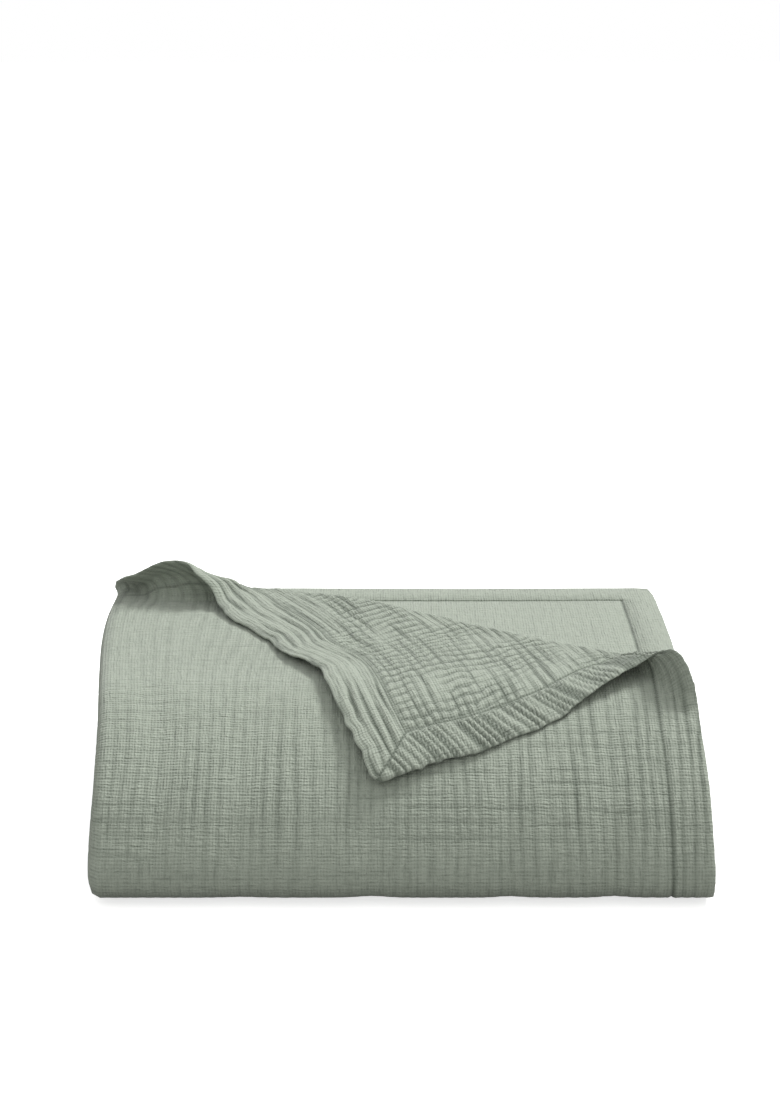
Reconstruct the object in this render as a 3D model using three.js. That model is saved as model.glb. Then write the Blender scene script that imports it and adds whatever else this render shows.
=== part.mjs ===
// Folded cotton gauze blanket with one corner of its top ply turned back over the front.
// One closed solid: a flat rectangle of lofted gauze, folded in four across its width and in six along its
// length, so 24 plies lie on one another and a single outer ply wraps the front.
// Millimetres. +X is right, +Y is back, +Z is up; the underside lies on z = 0.

import * as THREE from 'three';

// Driving sizes of the flat cloth
const CLOTH_WIDTH = 2340;
const CLOTH_LENGTH = 2740;
const CLOTH_THICKNESS = 3.6;
const SIDE_HEM = 35;
const END_HEM = 42;
const HEM_EXTRA = 0.6;
const HEM_SLOPE = 4;

// Driving sizes of the folded stack
const PLY_PITCH = 6.5;
const LEFT_FOLD_X = -284;
const TOP_END_Y = 243;
const BACK_TURN_Y = 233;

// The three front wraps, one inside another: half the height of each, where its middle is, how far it
// reaches forward and leans back for its half height, and how square its lower half is (2 is an ellipse)
const OUTER_WRAP = { radius: 10 * PLY_PITCH, y: -125, reach: 1.38, lean: 0.84, squareness: 3.2 };
const MIDDLE_WRAP = { radius: 6 * PLY_PITCH, y: -125, reach: 1.38, lean: 0.84, squareness: 3.2 };
const INNER_WRAP = { radius: 2 * PLY_PITCH, y: -113, reach: 1.2, lean: 0.3, squareness: 2 };

// The turned-back corner of the top ply: the roll's axis and its radii at the right end, past the middle
// and at the left end; how it slopes down and rests; how the part that hangs on the front stands off
const FLAP = {
  angle: THREE.MathUtils.degToRad(28.6),
  startY: -75,
  rightRadius: 10.5,
  middleRadius: 9.5,
  leftRadius: 18.5,
  flareFrom: 0.74,
  dip: THREE.MathUtils.degToRad(9),
  easeRadius: 100,
  restHeight: 6,
  skew: 34,
  standOff: 13,
  standOffOver: 110,
  freeFromX: 180,
  freeToX: -10,
  hangStart: 75,
  hangShear: 0.126,
  hangShrink: 0.117,
};

// The loose back left of the stack: how much higher it is at the back and at the back left, how far its
// left side bulges, how much the outer ply lifts off, and between which places each of these grows
const SWELL = {
  back: 7.5,
  leftBack: 7.5,
  fromX: -100,
  toX: -290,
  fromY: -200,
  toY: 100,
  bulge: 32,
  bulgeFromY: -220,
  bulgeToY: 190,
  plyLift: 4,
  liftFromX: -60,
  liftToX: -270,
  liftToAlong: 60,
};

// How far the plies stray to the side and along towards the back, and how quickly with height and length
const STRAY = { side: 4, along: 5, fromY: -150, toY: 150, sideHeight: 24, alongHeight: 30, length: 190 };

// The middle of the folded blanket's outline, which is set on the origin
const BODY_CENTRE = { x: -13.06, y: 0.55 };

const HALF_TURN = Math.PI;
const MIDDLE_Z = 12 * PLY_PITCH;
const FLOOR_Z = CLOTH_THICKNESS / 2 - PLY_PITCH / 2;

const clamp = (value, low, high) => Math.min(Math.max(value, low), high);
const ramp = (value, from, to) => THREE.MathUtils.smoothstep((value - from) / (to - from), 0, 1);

// Across the width: four plies between three folds, seen from the front.
// Each run gives x and the ply's level in the bundle at a distance along the run.
function straightRun(length, startX, direction, level) {
  return { length, at: (along) => ({ x: startX + direction * along, level }) };
}

function foldRun(centreX, centreLevel, radius, startAngle, direction) {
  return {
    length: HALF_TURN * radius,
    at: (along) => {
      const angle = startAngle + (direction * along) / radius;
      return { x: centreX + radius * Math.cos(angle), level: centreLevel + radius * Math.sin(angle) };
    },
  };
}

const OUTER_FOLD_RADIUS = 1.5 * PLY_PITCH;
const INNER_FOLD_RADIUS = 0.5 * PLY_PITCH;
const FOLDS_LENGTH = HALF_TURN * (OUTER_FOLD_RADIUS + 2 * INNER_FOLD_RADIUS);
const PLY_WIDTH = (CLOTH_WIDTH - FOLDS_LENGTH) / 4;
const RIGHT_EDGE_X = LEFT_FOLD_X + PLY_WIDTH;

const ACROSS = [
  straightRun(PLY_WIDTH, RIGHT_EDGE_X, -1, OUTER_FOLD_RADIUS),
  foldRun(LEFT_FOLD_X, 0, OUTER_FOLD_RADIUS, HALF_TURN / 2, 1),
  straightRun(PLY_WIDTH, LEFT_FOLD_X, 1, -OUTER_FOLD_RADIUS),
  foldRun(RIGHT_EDGE_X, -PLY_PITCH, INNER_FOLD_RADIUS, -HALF_TURN / 2, 1),
  straightRun(PLY_WIDTH, RIGHT_EDGE_X, -1, -INNER_FOLD_RADIUS),
  foldRun(LEFT_FOLD_X, 0, INNER_FOLD_RADIUS, (3 * HALF_TURN) / 2, -1),
  straightRun(PLY_WIDTH, LEFT_FOLD_X, 1, INNER_FOLD_RADIUS),
];

// Along the length: the bundle of four plies, seen from its right-hand side.
// Each run gives the bundle's centre and its spread, the step from one level to the next.
function layer(startY, endY, z, startShear, endShear, up) {
  const length = Math.abs(endY - startY);
  return {
    length,
    at: (along) => {
      const share = along / length;
      return {
        y: startY + (endY - startY) * share,
        z,
        spreadY: startShear + (endShear - startShear) * share,
        spreadZ: up,
      };
    },
  };
}

function backTurn(centreZ, radius, rising) {
  const up = rising ? 1 : -1;
  return {
    length: HALF_TURN * radius,
    at: (along) => {
      const angle = up * (along / radius - HALF_TURN / 2);
      const outY = Math.cos(angle);
      const outZ = Math.sin(angle);
      return {
        y: BACK_TURN_Y + radius * outY,
        z: centreZ + radius * outZ,
        spreadY: up * outY,
        spreadZ: up * outZ,
      };
    },
  };
}

// A front wrap for a half height of 1: turn runs from 0 at the top to 1 at the bottom
function wrapOutline(wrap, turn) {
  const angle = HALF_TURN * (0.5 - turn);
  const power = angle < 0 ? 2 / wrap.squareness : 1;
  const forward = Math.max(Math.cos(angle), 0) ** power;
  const rise = Math.sign(angle) * Math.abs(Math.sin(angle)) ** power;
  return { y: wrap.lean * rise - wrap.reach * forward, z: rise };
}

const WRAP_SAMPLES = 240;

function wrapLengths(wrap) {
  const lengths = [0];
  for (let i = 1; i <= WRAP_SAMPLES; i += 1) {
    const before = wrapOutline(wrap, (i - 1) / WRAP_SAMPLES);
    const here = wrapOutline(wrap, i / WRAP_SAMPLES);
    lengths.push(lengths[i - 1] + wrap.radius * Math.hypot(here.y - before.y, here.z - before.z));
  }
  return lengths;
}

function turnAt(lengths, length) {
  let index = 0;
  while (index < WRAP_SAMPLES - 1 && lengths[index + 1] < length) {
    index += 1;
  }
  const share = (length - lengths[index]) / (lengths[index + 1] - lengths[index]);
  return (index + share) / WRAP_SAMPLES;
}

function frontWrap(wrap, falling, outward) {
  const lengths = wrapLengths(wrap);
  const length = lengths[WRAP_SAMPLES];
  return {
    length,
    lengthAt: (share) => {
      const down = lengths[Math.round(WRAP_SAMPLES * (falling ? share : 1 - share))];
      return falling ? down : length - down;
    },
    at: (along) => {
      const outline = wrapOutline(wrap, turnAt(lengths, falling ? along : length - along));
      return {
        y: wrap.y + wrap.radius * outline.y,
        z: MIDDLE_Z + wrap.radius * outline.z,
        spreadY: outward * outline.y,
        spreadZ: outward * outline.z,
      };
    },
  };
}

// A layer that runs from the back to a wrap, or from a wrap to the back, over or under its middle
function layerBeside(wrap, backY, z, { over, outward, toFront }) {
  const side = over ? 1 : -1;
  const wrapY = wrap.y + side * wrap.lean * wrap.radius;
  const shear = outward * side * wrap.lean;
  const up = outward * side;
  return toFront ? layer(backY, wrapY, z, 0, shear, up) : layer(wrapY, backY, z, shear, 0, up);
}

const TURN_RADIUS = 2 * PLY_PITCH;
const FIRST_RUNS = [
  layerBeside(OUTER_WRAP, TOP_END_Y, 22 * PLY_PITCH, { over: true, outward: 1, toFront: true }),
  frontWrap(OUTER_WRAP, true, 1),
  layerBeside(OUTER_WRAP, BACK_TURN_Y, 2 * PLY_PITCH, { over: false, outward: 1, toFront: false }),
  backTurn(4 * PLY_PITCH, TURN_RADIUS, true),
  layerBeside(MIDDLE_WRAP, BACK_TURN_Y, 6 * PLY_PITCH, { over: false, outward: -1, toFront: true }),
  frontWrap(MIDDLE_WRAP, false, -1),
  layerBeside(MIDDLE_WRAP, BACK_TURN_Y, 18 * PLY_PITCH, { over: true, outward: -1, toFront: false }),
  backTurn(16 * PLY_PITCH, TURN_RADIUS, false),
  layerBeside(INNER_WRAP, BACK_TURN_Y, 14 * PLY_PITCH, { over: true, outward: 1, toFront: true }),
  frontWrap(INNER_WRAP, true, 1),
];
const USED_LENGTH = FIRST_RUNS.reduce((sum, run) => sum + run.length, 0);
const LAST_END_Y = INNER_WRAP.y - INNER_WRAP.lean * INNER_WRAP.radius + CLOTH_LENGTH - USED_LENGTH;
const LAST_RUN = layerBeside(INNER_WRAP, LAST_END_Y, 10 * PLY_PITCH, { over: false, outward: 1, toFront: false });
const ALONG = [...FIRST_RUNS, LAST_RUN];

// The run that holds a distance; the first and last runs go on past their ends
function locate(runs, distance) {
  let start = 0;
  let index = 0;
  while (index < runs.length - 1 && distance > start + runs[index].length) {
    start += runs[index].length;
    index += 1;
  }
  return { index, place: runs[index].at(distance - start) };
}

// The roll's radius at a share of its axis, measured from its right end: it flares at the left end
function rollRadius(share) {
  const middle = FLAP.middleRadius - FLAP.rightRadius;
  const flare = FLAP.leftRadius - FLAP.middleRadius;
  return FLAP.rightRadius + middle * ramp(share, 0, FLAP.flareFrom) + flare * ramp(share, FLAP.flareFrom, 1);
}

// The top ply's corner rolls over a slanting axis, runs down to the ply below and lies back on it.
// Takes a point of the flat top ply; gives where it goes and how high above the ply it is.
function rollCorner(x, y) {
  const cos = Math.cos(FLAP.angle);
  const sin = Math.sin(FLAP.angle);
  const alongAxis = -(x - RIGHT_EDGE_X) * cos + (y - FLAP.startY) * sin;
  const past = (x - RIGHT_EDGE_X) * sin + (y - FLAP.startY) * cos;
  if (past <= 0) {
    return { x, y, height: 0, flap: 0 };
  }
  const radius = rollRadius((alongAxis * cos) / PLY_WIDTH);
  const fallAngle = HALF_TURN + FLAP.dip;
  const cosDip = Math.cos(FLAP.dip);
  const sinDip = Math.sin(FLAP.dip);
  const drop = radius * (1 + cosDip) - FLAP.easeRadius * (1 - cosDip) - FLAP.restHeight;
  const slope = drop / sinDip;
  const arcEnd = radius * fallAngle;
  const slopeEnd = arcEnd + slope;
  const easeEnd = slopeEnd + FLAP.easeRadius * FLAP.dip;
  let reach;
  let height;
  if (past < arcEnd) {
    const angle = past / radius;
    reach = radius * Math.sin(angle);
    height = radius * (1 - Math.cos(angle));
  } else if (past < slopeEnd) {
    const down = past - arcEnd;
    reach = -radius * sinDip - down * cosDip;
    height = radius * (1 + cosDip) - down * sinDip;
  } else if (past < easeEnd) {
    const left = (easeEnd - past) / FLAP.easeRadius;
    reach = -radius * sinDip - slope * cosDip - FLAP.easeRadius * (sinDip - Math.sin(left));
    height = FLAP.restHeight + FLAP.easeRadius * (1 - Math.cos(left));
  } else {
    reach = -radius * sinDip - slope * cosDip - FLAP.easeRadius * sinDip - (past - easeEnd);
    height = FLAP.restHeight;
  }
  return {
    x: RIGHT_EDGE_X - alongAxis * cos + reach * sin,
    y: FLAP.startY + alongAxis * sin + reach * cos,
    height,
    flap: ramp(past, arcEnd, easeEnd),
  };
}

// The whole stack is loose and higher towards its back left
function swell(point) {
  const left = ramp(point.x, SWELL.fromX, SWELL.toX);
  const back = ramp(point.y, SWELL.fromY, SWELL.toY);
  const high = ramp(point.z, 4 * PLY_PITCH, 24 * PLY_PITCH);
  point.z += (SWELL.back + SWELL.leftBack * left) * back * high;
  point.x -= SWELL.bulge * left * high * ramp(point.y, SWELL.bulgeFromY, SWELL.bulgeToY);
  return point;
}

// Towards the back the plies don't lie quite square over one another
function stray(point) {
  const back = ramp(point.y, STRAY.fromY, STRAY.toY);
  point.x += STRAY.side * back * Math.sin(point.z / STRAY.sideHeight + point.y / STRAY.length);
  point.y += STRAY.along * back * Math.sin(point.z / STRAY.alongHeight - point.x / STRAY.length);
  return point;
}

const TOP_LENGTH = ALONG[0].length;
const WRAP_MIDDLE = TOP_LENGTH + ALONG[1].length / 2;

// Where a point of the top ply lies: its place across, its distance along the bundle and its height above
function foldTop(x, along) {
  const wide = (x - LEFT_FOLD_X) / PLY_WIDTH;
  const skewed = FLAP.skew * wide * clamp(1 - along / TOP_LENGTH, 0, 1);
  const rolled = rollCorner(x, TOP_END_Y - along + skewed);
  const hanging = rolled.flap * Math.max(TOP_END_Y - rolled.y - TOP_LENGTH + FLAP.hangStart, 0);
  const free = ramp(rolled.x, FLAP.freeFromX, FLAP.freeToX);
  return {
    x: rolled.x - FLAP.hangShear * hanging,
    station: TOP_END_Y - rolled.y - FLAP.hangShrink * hanging * free,
    height: rolled.height + FLAP.standOff * ramp(hanging, 0, FLAP.standOffOver) * free,
  };
}

// Where a point of the flat cloth lies in the folded blanket
function fold(across, along) {
  const section = locate(ACROSS, across);
  const { level } = section.place;
  let { x } = section.place;
  let station = along;
  let height = 0;
  if (section.index === 0 && along < WRAP_MIDDLE) {
    ({ x, station, height } = foldTop(x, along));
  }
  if (section.index <= 1) {
    const upper = clamp((1 + level / OUTER_FOLD_RADIUS) / 2, 0, 1);
    const loose = ramp(x, SWELL.liftFromX, SWELL.liftToX) * ramp(station, TOP_LENGTH, SWELL.liftToAlong);
    height += SWELL.plyLift * upper * loose;
  }
  const here = locate(ALONG, station).place;
  const ahead = locate(ALONG, station + 1).place;
  const behind = locate(ALONG, station - 1).place;
  const slopeY = ahead.y - behind.y + level * (ahead.spreadY - behind.spreadY);
  const slopeZ = ahead.z - behind.z + level * (ahead.spreadZ - behind.spreadZ);
  const lift = height / Math.hypot(slopeY, slopeZ);
  const y = here.y + level * here.spreadY + lift * slopeZ;
  const z = here.z + level * here.spreadZ - lift * slopeY;
  return stray(swell(new THREE.Vector3(x, y, z + FLOOR_Z)));
}

// Steps of the flat cloth where it is creased, so every fold has the faces it needs.
// Each run is cut into equal parts, and a front wrap into parts that turn alike.
function runSteps(start, run, count) {
  const steps = [];
  for (let i = 1; i <= count; i += 1) {
    steps.push(start + (run.lengthAt ? run.lengthAt(i / count) : (run.length * i) / count));
  }
  return steps;
}

function creaseSteps(runs, counts, hemWidth) {
  const steps = [0];
  let start = 0;
  runs.forEach((run, index) => {
    steps.push(...runSteps(start, run, counts[index]));
    start += run.length;
  });
  const end = steps[steps.length - 1];
  const hems = [hemWidth, hemWidth + HEM_SLOPE, end - hemWidth - HEM_SLOPE, end - hemWidth];
  const nearHem = hemWidth / 2;
  const kept = steps.filter((step) => hems.every((hem) => Math.abs(step - hem) > nearHem));
  return [...kept, ...hems].sort((a, b) => a - b);
}

const ACROSS_STEPS = creaseSteps(ACROSS, [5, 5, 5, 3, 5, 3, 5], SIDE_HEM);
const ALONG_STEPS = creaseSteps(ALONG, [5, 8, 4, 5, 4, 8, 4, 5, 4, 8, 4], END_HEM);

// Creases across the turned corner: some parallel to its axis, for the roll, and some level on the front,
// for the part that hangs. Each is a straight line of the flat cloth, across * a + along * b = c.
const ROLL_CREASES = 8;
const EASE_CREASES = 3;
const HANG_CREASES = 7;
const HANG_SPACING = 25;

function cornerCreases() {
  const cos = Math.cos(FLAP.angle);
  const sin = Math.sin(FLAP.angle);
  const start = (TOP_END_Y - FLAP.startY) * cos;
  const arcEnd = FLAP.leftRadius * (HALF_TURN + FLAP.dip);
  const creases = [];
  for (let i = 0; i <= ROLL_CREASES; i += 1) {
    creases.push({ a: sin, b: cos, c: start - (arcEnd * i) / ROLL_CREASES });
  }
  for (let i = 1; i <= EASE_CREASES; i += 1) {
    creases.push({ a: sin, b: cos, c: start - arcEnd - HANG_SPACING * i });
  }
  for (let i = 0; i < HANG_CREASES; i += 1) {
    const c = HANG_SPACING * (i + 1);
    creases.push({ a: Math.sin(2 * FLAP.angle), b: Math.cos(2 * FLAP.angle), c });
  }
  return creases;
}

// Keeps the part of a flat polygon on one side of a crease; a corner very near the crease counts as on it
const CREASE_SNAP = 1;

function cut(polygon, crease, side) {
  const kept = [];
  const past = polygon.map(([across, along]) => {
    const distance = side * (crease.a * across + crease.b * along - crease.c);
    return Math.abs(distance) < CREASE_SNAP ? 0 : distance;
  });
  polygon.forEach((point, index) => {
    const nextIndex = (index + 1) % polygon.length;
    const next = polygon[nextIndex];
    if (past[index] >= 0) {
      kept.push(point);
    }
    if (past[index] * past[nextIndex] < 0) {
      const share = past[index] / (past[index] - past[nextIndex]);
      kept.push(point.map((value, axis) => value + share * (next[axis] - value)));
    }
  });
  return kept;
}

function flatPolygons() {
  const creases = cornerCreases();
  const polygons = [];
  for (let i = 0; i + 1 < ACROSS_STEPS.length; i += 1) {
    for (let j = 0; j + 1 < ALONG_STEPS.length; j += 1) {
      const [left, right] = [ACROSS_STEPS[i], ACROSS_STEPS[i + 1]];
      const [near, far] = [ALONG_STEPS[j], ALONG_STEPS[j + 1]];
      let pieces = [[[left, near], [right, near], [right, far], [left, far]]];
      creases.forEach((crease) => {
        pieces = pieces
          .flatMap((piece) => [cut(piece, crease, -1), cut(piece, crease, 1)])
          .filter((piece) => piece.length > 2);
      });
      polygons.push(...pieces);
    }
  }
  return polygons;
}

// Half the thickness on the wrong side grows in the hem, which is turned in on that side
function wrongSideDepth(across, along) {
  const pastSide = Math.min(across, CLOTH_WIDTH - across) - SIDE_HEM;
  const pastEnd = Math.min(along, CLOTH_LENGTH - along) - END_HEM;
  return CLOTH_THICKNESS / 2 + HEM_EXTRA * clamp(1 - Math.min(pastSide, pastEnd) / HEM_SLOPE, 0, 1);
}

// The direction from the middle of the cloth out of its right side
const NORMAL_STEP = 0.5;

function sideNormal(across, along) {
  const [u0, u1] = [-NORMAL_STEP, NORMAL_STEP].map((step) => clamp(across + step, 0, CLOTH_WIDTH));
  const [v0, v1] = [-NORMAL_STEP, NORMAL_STEP].map((step) => clamp(along + step, 0, CLOTH_LENGTH));
  const alongWidth = fold(u1, along).sub(fold(u0, along));
  const alongLength = fold(across, v1).sub(fold(across, v0));
  return alongWidth.cross(alongLength).normalize();
}

// The closed cloth: right side, wrong side and the rim between them
function clothGeometry() {
  const positions = [];
  const faces = [];
  const numbers = new Map();
  const edges = new Map();

  function corner([across, along]) {
    const key = `${across.toFixed(3)} ${along.toFixed(3)}`;
    if (!numbers.has(key)) {
      numbers.set(key, positions.length / 6);
      const middle = fold(across, along);
      const normal = sideNormal(across, along);
      const rightSide = middle.clone().addScaledVector(normal, CLOTH_THICKNESS / 2);
      const wrongSide = middle.clone().addScaledVector(normal, -wrongSideDepth(across, along));
      positions.push(...rightSide.toArray(), ...wrongSide.toArray());
    }
    return numbers.get(key);
  }

  flatPolygons().forEach((polygon) => {
    const ring = polygon.map(corner).filter((number, index, all) => number !== all[(index + 1) % all.length]);
    for (let i = 1; i + 1 < ring.length; i += 1) {
      faces.push(2 * ring[0], 2 * ring[i], 2 * ring[i + 1]);
      faces.push(2 * ring[0] + 1, 2 * ring[i + 1] + 1, 2 * ring[i] + 1);
    }
    ring.forEach((from, index) => {
      const to = ring[(index + 1) % ring.length];
      const twin = `${to} ${from}`;
      if (edges.has(twin)) {
        edges.delete(twin);
      } else {
        edges.set(`${from} ${to}`, [from, to]);
      }
    });
  });
  edges.forEach(([from, to]) => {
    faces.push(2 * to, 2 * from, 2 * from + 1);
    faces.push(2 * to, 2 * from + 1, 2 * to + 1);
  });

  const geometry = new THREE.BufferGeometry();
  geometry.setAttribute('position', new THREE.Float32BufferAttribute(positions, 3));
  geometry.setIndex(faces);
  geometry.computeVertexNormals();
  return geometry;
}

function makeBlanket() {
  const gauze = new THREE.MeshStandardMaterial({ color: 0x9fa999, roughness: 0.95, metalness: 0 });
  const blanket = new THREE.Mesh(clothGeometry(), gauze);
  blanket.name = 'blanket';
  blanket.position.set(-BODY_CENTRE.x, -BODY_CENTRE.y, 0);
  return blanket;
}

const model = new THREE.Group();
model.add(makeBlanket());

export default model;
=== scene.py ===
"""Folded cotton gauze blanket with one corner of its top ply turned back, dressed for its picture.

The blanket is modelled flat, as one slab of cloth with its two sides and its rim, and each of its points is
then carried to its place in the folded stack. Crinkle, hems and stitching are worked on the flat cloth, in
millimetres across and along from the corner that is turned back. The row frame is in metres: +X is right,
+Y is back and +Z is up.
"""

import logging
import math
from dataclasses import dataclass, field
from enum import Enum
from typing import Any, Sequence

import bmesh
import bpy
import numpy as np
from mathutils import Matrix, Vector

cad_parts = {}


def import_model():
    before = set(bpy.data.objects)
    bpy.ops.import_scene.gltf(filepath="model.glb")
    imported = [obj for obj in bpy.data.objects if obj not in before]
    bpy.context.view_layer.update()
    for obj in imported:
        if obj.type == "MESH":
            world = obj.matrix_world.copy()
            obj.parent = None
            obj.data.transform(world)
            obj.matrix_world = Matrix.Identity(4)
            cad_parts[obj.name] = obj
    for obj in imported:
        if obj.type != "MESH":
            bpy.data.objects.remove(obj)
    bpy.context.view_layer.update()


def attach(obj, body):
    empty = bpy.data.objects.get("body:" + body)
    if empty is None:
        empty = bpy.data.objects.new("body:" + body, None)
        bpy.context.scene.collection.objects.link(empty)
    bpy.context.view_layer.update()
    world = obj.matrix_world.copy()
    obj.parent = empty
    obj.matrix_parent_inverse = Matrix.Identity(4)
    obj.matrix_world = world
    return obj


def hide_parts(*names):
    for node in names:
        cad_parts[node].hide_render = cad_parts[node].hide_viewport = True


Array = np.ndarray
Arrays = tuple[np.ndarray, ...]
Pair = tuple[float, float]
Table = tuple[Pair, ...]
MM = 0.001
LOG = logging.getLogger("blanket")


# Small helpers


def ramp(value: Array, start: float | Array, end: float | Array) -> Array:
    """Rises smoothly from 0 at start to 1 at end.

    Args:
        value: The values to read.
        start: Where the rise begins, for all values or for each; it may be larger than end.
        end: Where the rise is over, likewise.

    Returns:
        The risen share for each value.
    """
    share = np.clip((value - start) / (end - start), 0.0, 1.0)
    return share * share * (3.0 - 2.0 * share)


def linear(hex_colour: str) -> tuple[float, float, float, float]:
    """Turns an sRGB hex colour such as "b4bcae" into linear red, green, blue and alpha.

    Args:
        hex_colour: Six hexadecimal digits.

    Returns:
        The linear colour, opaque.
    """
    parts = [int(hex_colour[i : i + 2], 16) / 255.0 for i in (0, 2, 4)]
    rgb = [p / 12.92 if p <= 0.04045 else ((p + 0.055) / 1.055) ** 2.4 for p in parts]
    return rgb[0], rgb[1], rgb[2], 1.0


class SoftNoise:
    """Smooth random values from -1 to 1 over a plane, the same on every run."""

    SIZE = 89

    def __init__(self, seed: int) -> None:
        """Fills the lattice of random values.

        Args:
            seed: Any whole number; each seed gives another pattern.
        """
        self.lattice = np.random.default_rng(seed).uniform(-1.0, 1.0, (self.SIZE, self.SIZE))

    def at(self, x: Array, y: Array) -> Array:
        """Reads the pattern, whose features are about one unit wide.

        Args:
            x: First coordinates.
            y: Second coordinates, of the same shape.

        Returns:
            The values there.
        """
        x, y = np.broadcast_arrays(np.asarray(x, float), np.asarray(y, float))
        column, row = np.floor(x).astype(int), np.floor(y).astype(int)
        across, along = ramp(x - column, 0.0, 1.0), ramp(y - row, 0.0, 1.0)
        corners = ((0, 0), (1, 0), (0, 1), (1, 1))
        values = [self.lattice[(column + i) % self.SIZE, (row + j) % self.SIZE] for i, j in corners]
        near = values[0] + (values[1] - values[0]) * across
        far = values[2] + (values[3] - values[2]) * across
        return near + (far - near) * along


# The folded stack


@dataclass(frozen=True)
class StraightPly:
    """A ply that runs straight across the stack at one level of the bundle."""

    length: float
    start_x: float
    direction: float
    level: float

    def at(self, along: Array) -> Array:
        """Gives x and the level at distances along the ply."""
        return np.stack([self.start_x + self.direction * along, np.full_like(along, self.level)], axis=1)


@dataclass(frozen=True)
class SideFold:
    """A half turn at the left or right of the stack, from one level of the bundle to another."""

    centre_x: float
    centre_level: float
    radius: float
    start_angle: float
    direction: float

    @property
    def length(self) -> float:
        """The cloth's length round the fold."""
        return math.pi * self.radius

    def at(self, along: Array) -> Array:
        """Gives x and the level at distances along the fold."""
        angle = self.start_angle + self.direction * along / self.radius
        x = self.centre_x + self.radius * np.cos(angle)
        return np.stack([x, self.centre_level + self.radius * np.sin(angle)], axis=1)


@dataclass(frozen=True)
class Layer:
    """A stretch where the bundle of plies lies level: its centre line, and the step between levels."""

    start_y: float
    end_y: float
    z: float
    start_shear: float
    end_shear: float
    up: float

    @property
    def length(self) -> float:
        """The distance from its start to its end."""
        return abs(self.end_y - self.start_y)

    def at(self, along: Array) -> Array:
        """Gives y, z and the step's y and z at distances along the layer."""
        share = along / self.length
        y = self.start_y + (self.end_y - self.start_y) * share
        shear = self.start_shear + (self.end_shear - self.start_shear) * share
        return np.stack([y, np.full_like(y, self.z), shear, np.full_like(y, self.up)], axis=1)


@dataclass(frozen=True)
class BackTurn:
    """A half turn of the bundle at the back of the stack."""

    y: float
    z: float
    radius: float
    up: float

    @property
    def length(self) -> float:
        """The centre line's length round the turn."""
        return math.pi * self.radius

    def at(self, along: Array) -> Array:
        """Gives y, z and the step's y and z at distances along the turn."""
        angle = self.up * (along / self.radius - math.pi / 2)
        out_y, out_z = np.cos(angle), np.sin(angle)
        centre = [self.y + self.radius * out_y, self.z + self.radius * out_z]
        return np.stack([*centre, self.up * out_y, self.up * out_z], axis=1)


@dataclass(frozen=True)
class Wrap:
    """The leaning outline that the bundle follows round the front of the stack.

    radius is half its height; reach and lean are how far it comes forward and leans back for that radius;
    squareness shapes its lower half, where 2 is an ellipse.
    """

    radius: float
    y: float
    reach: float
    lean: float
    squareness: float
    SAMPLES = 240

    def outline(self, turn: Array) -> Array:
        """Gives forward y and rise z for a radius of 1, for turns from 0 at the top to 1 at the bottom."""
        angle = math.pi * (0.5 - turn)
        power = np.where(angle < 0, 2.0 / self.squareness, 1.0)
        forward = np.maximum(np.cos(angle), 0.0) ** power
        rise = np.sign(angle) * np.abs(np.sin(angle)) ** power
        return np.stack([self.lean * rise - self.reach * forward, rise], axis=1)

    def lengths(self) -> Array:
        """Gives the length down the outline at evenly spaced turns."""
        points = self.outline(np.linspace(0.0, 1.0, self.SAMPLES + 1))
        steps = np.linalg.norm(np.diff(points, axis=0), axis=1)
        return self.radius * np.concatenate([[0.0], np.cumsum(steps)])


@dataclass(frozen=True)
class FrontWrap:
    """The bundle's way round the front, falling or rising, with the right side of the cloth out or in."""

    wrap: Wrap
    middle_z: float
    falling: bool
    outward: float

    @property
    def length(self) -> float:
        """The centre line's length round the front."""
        return float(self.wrap.lengths()[-1])

    def at(self, along: Array) -> Array:
        """Gives y, z and the step's y and z at distances along the wrap."""
        lengths = self.wrap.lengths()
        down = along if self.falling else lengths[-1] - along
        turn = np.interp(down, lengths, np.linspace(0.0, 1.0, len(lengths)))
        outline = self.wrap.outline(turn)
        centre = np.array([self.wrap.y, self.middle_z]) + self.wrap.radius * outline
        return np.concatenate([centre, self.outward * outline], axis=1)


def follow(runs: Sequence[Any], distance: Array) -> Array:
    """Gives the places along a chain of runs; the first and last run go on past their ends.

    Args:
        runs: The runs in their order, each with a length and at().
        distance: Distances from the start of the first run.

    Returns:
        One row for each distance, as the run that holds it gives.
    """
    ends = np.cumsum([run.length for run in runs])
    index = np.searchsorted(ends[:-1], distance, side="left")
    first = runs[0].at(np.zeros(1))
    places = np.empty((len(distance), first.shape[1]))
    for number, run in enumerate(runs):
        here = index == number
        if here.any():
            places[here] = run.at(distance[here] - (ends[number] - run.length))
    return places


def smooth_table(rows: Table, place: Array) -> Array:
    """Reads a short table of (place, value) rows, going smoothly from each row to the next."""
    places, values = zip(*rows)
    result = np.full_like(np.asarray(place, float), values[0])
    for start, end, low, high in zip(places, places[1:], values, values[1:]):
        result = result + (high - low) * ramp(place, start, end)
    return result


# The roll's radius at shares of its axis, from its right end to its left one
ROLL_RADII = ((0, 26), (0.06, 13), (0.12, 8), (0.25, 7), (0.6, 12), (0.8, 9), (0.9, 19), (1, 6))
# How many degrees below level the cloth leaves the roll at the same shares; below zero it stays up
DIPS = ((0, 7), (0.2, 4), (0.8, 10), (0.88, -47), (0.94, -28))
# How far the side hem is drawn in at distances along the cloth
SIDE_DRAWS = ((0, -5), (60, -5), (120, -11), (180, -13), (240, -5), (300, -4), (400, 0))
# How far the end hem is drawn in at distances across the cloth
END_DRAWS = ((0, 20), (80, 15), (160, 15), (260, -2), (360, -1), (460, 13), (572, 4))
# How far the roll's axis bends towards the front at places across the stack
BENDS = ((-284, 25), (-250, 36), (-225, 24), (-170, 8), (-80, 3), (60, 4), (160, 6), (230, 10), (288, 36))


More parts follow.
